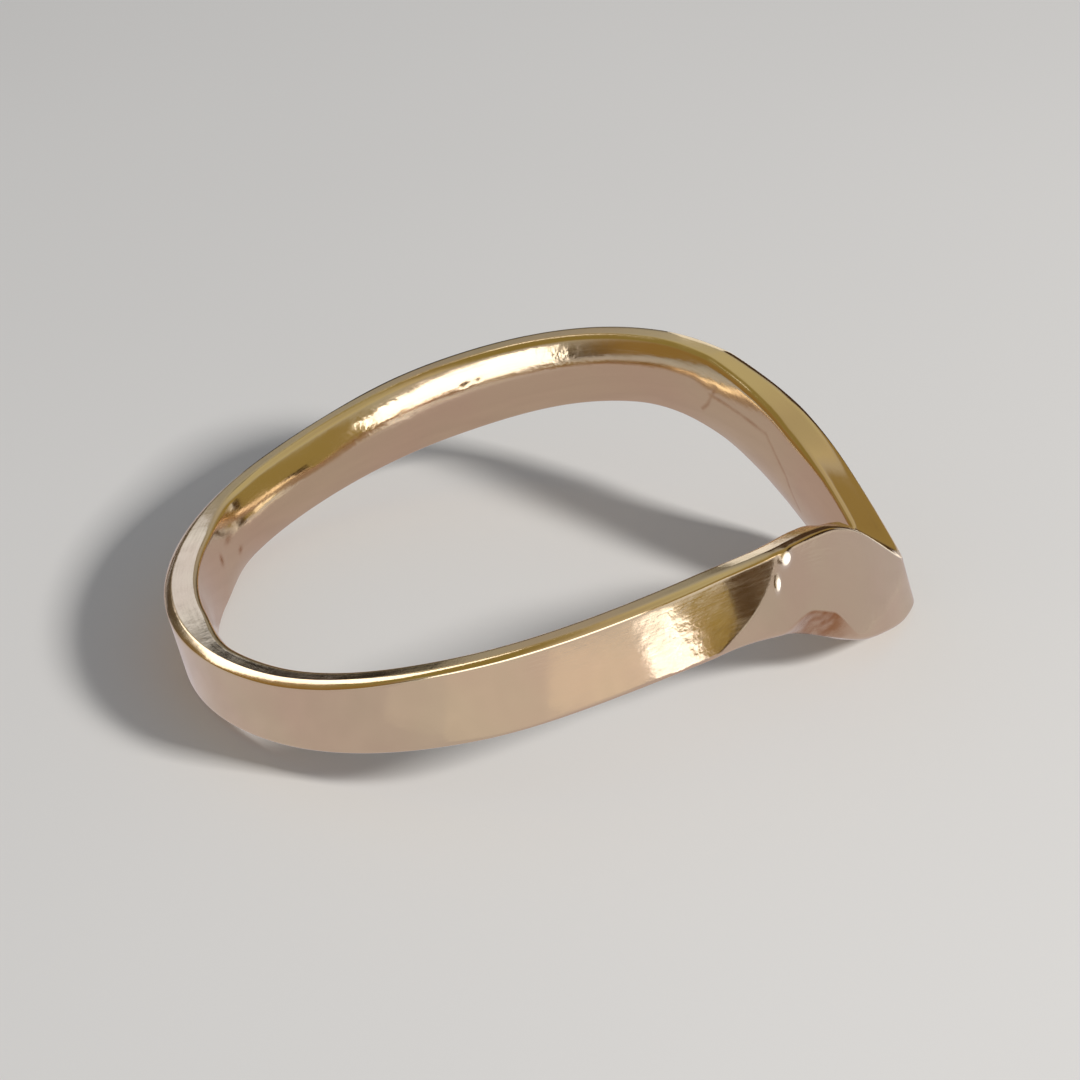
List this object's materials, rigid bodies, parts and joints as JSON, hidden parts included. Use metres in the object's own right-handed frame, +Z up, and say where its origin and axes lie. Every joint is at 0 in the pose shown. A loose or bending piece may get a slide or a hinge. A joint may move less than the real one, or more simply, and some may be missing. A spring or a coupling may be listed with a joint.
{
  "type": "wishbone ring",
  "caption": "Plain polished gold wishbone finger ring, a flat court band whose two legs run down to a soft V, lying on the foot of the V and the back of the shank.",
  "frame": {"origin": "on the surface that the ring rests on, under the middle of its bounding box", "axes": "+X towards the foot of the V, +Z up from the surface; the band's own axis leans back from +Z towards the shank by the rest tilt of about 12 degrees"},
  "size_m": [0.0204, 0.0186, 0.0053],
  "materials": {
    "gold": "polished"
  },
  "bodies": {
    "root": {"band": "gold"}
  },
  "joints": []
}
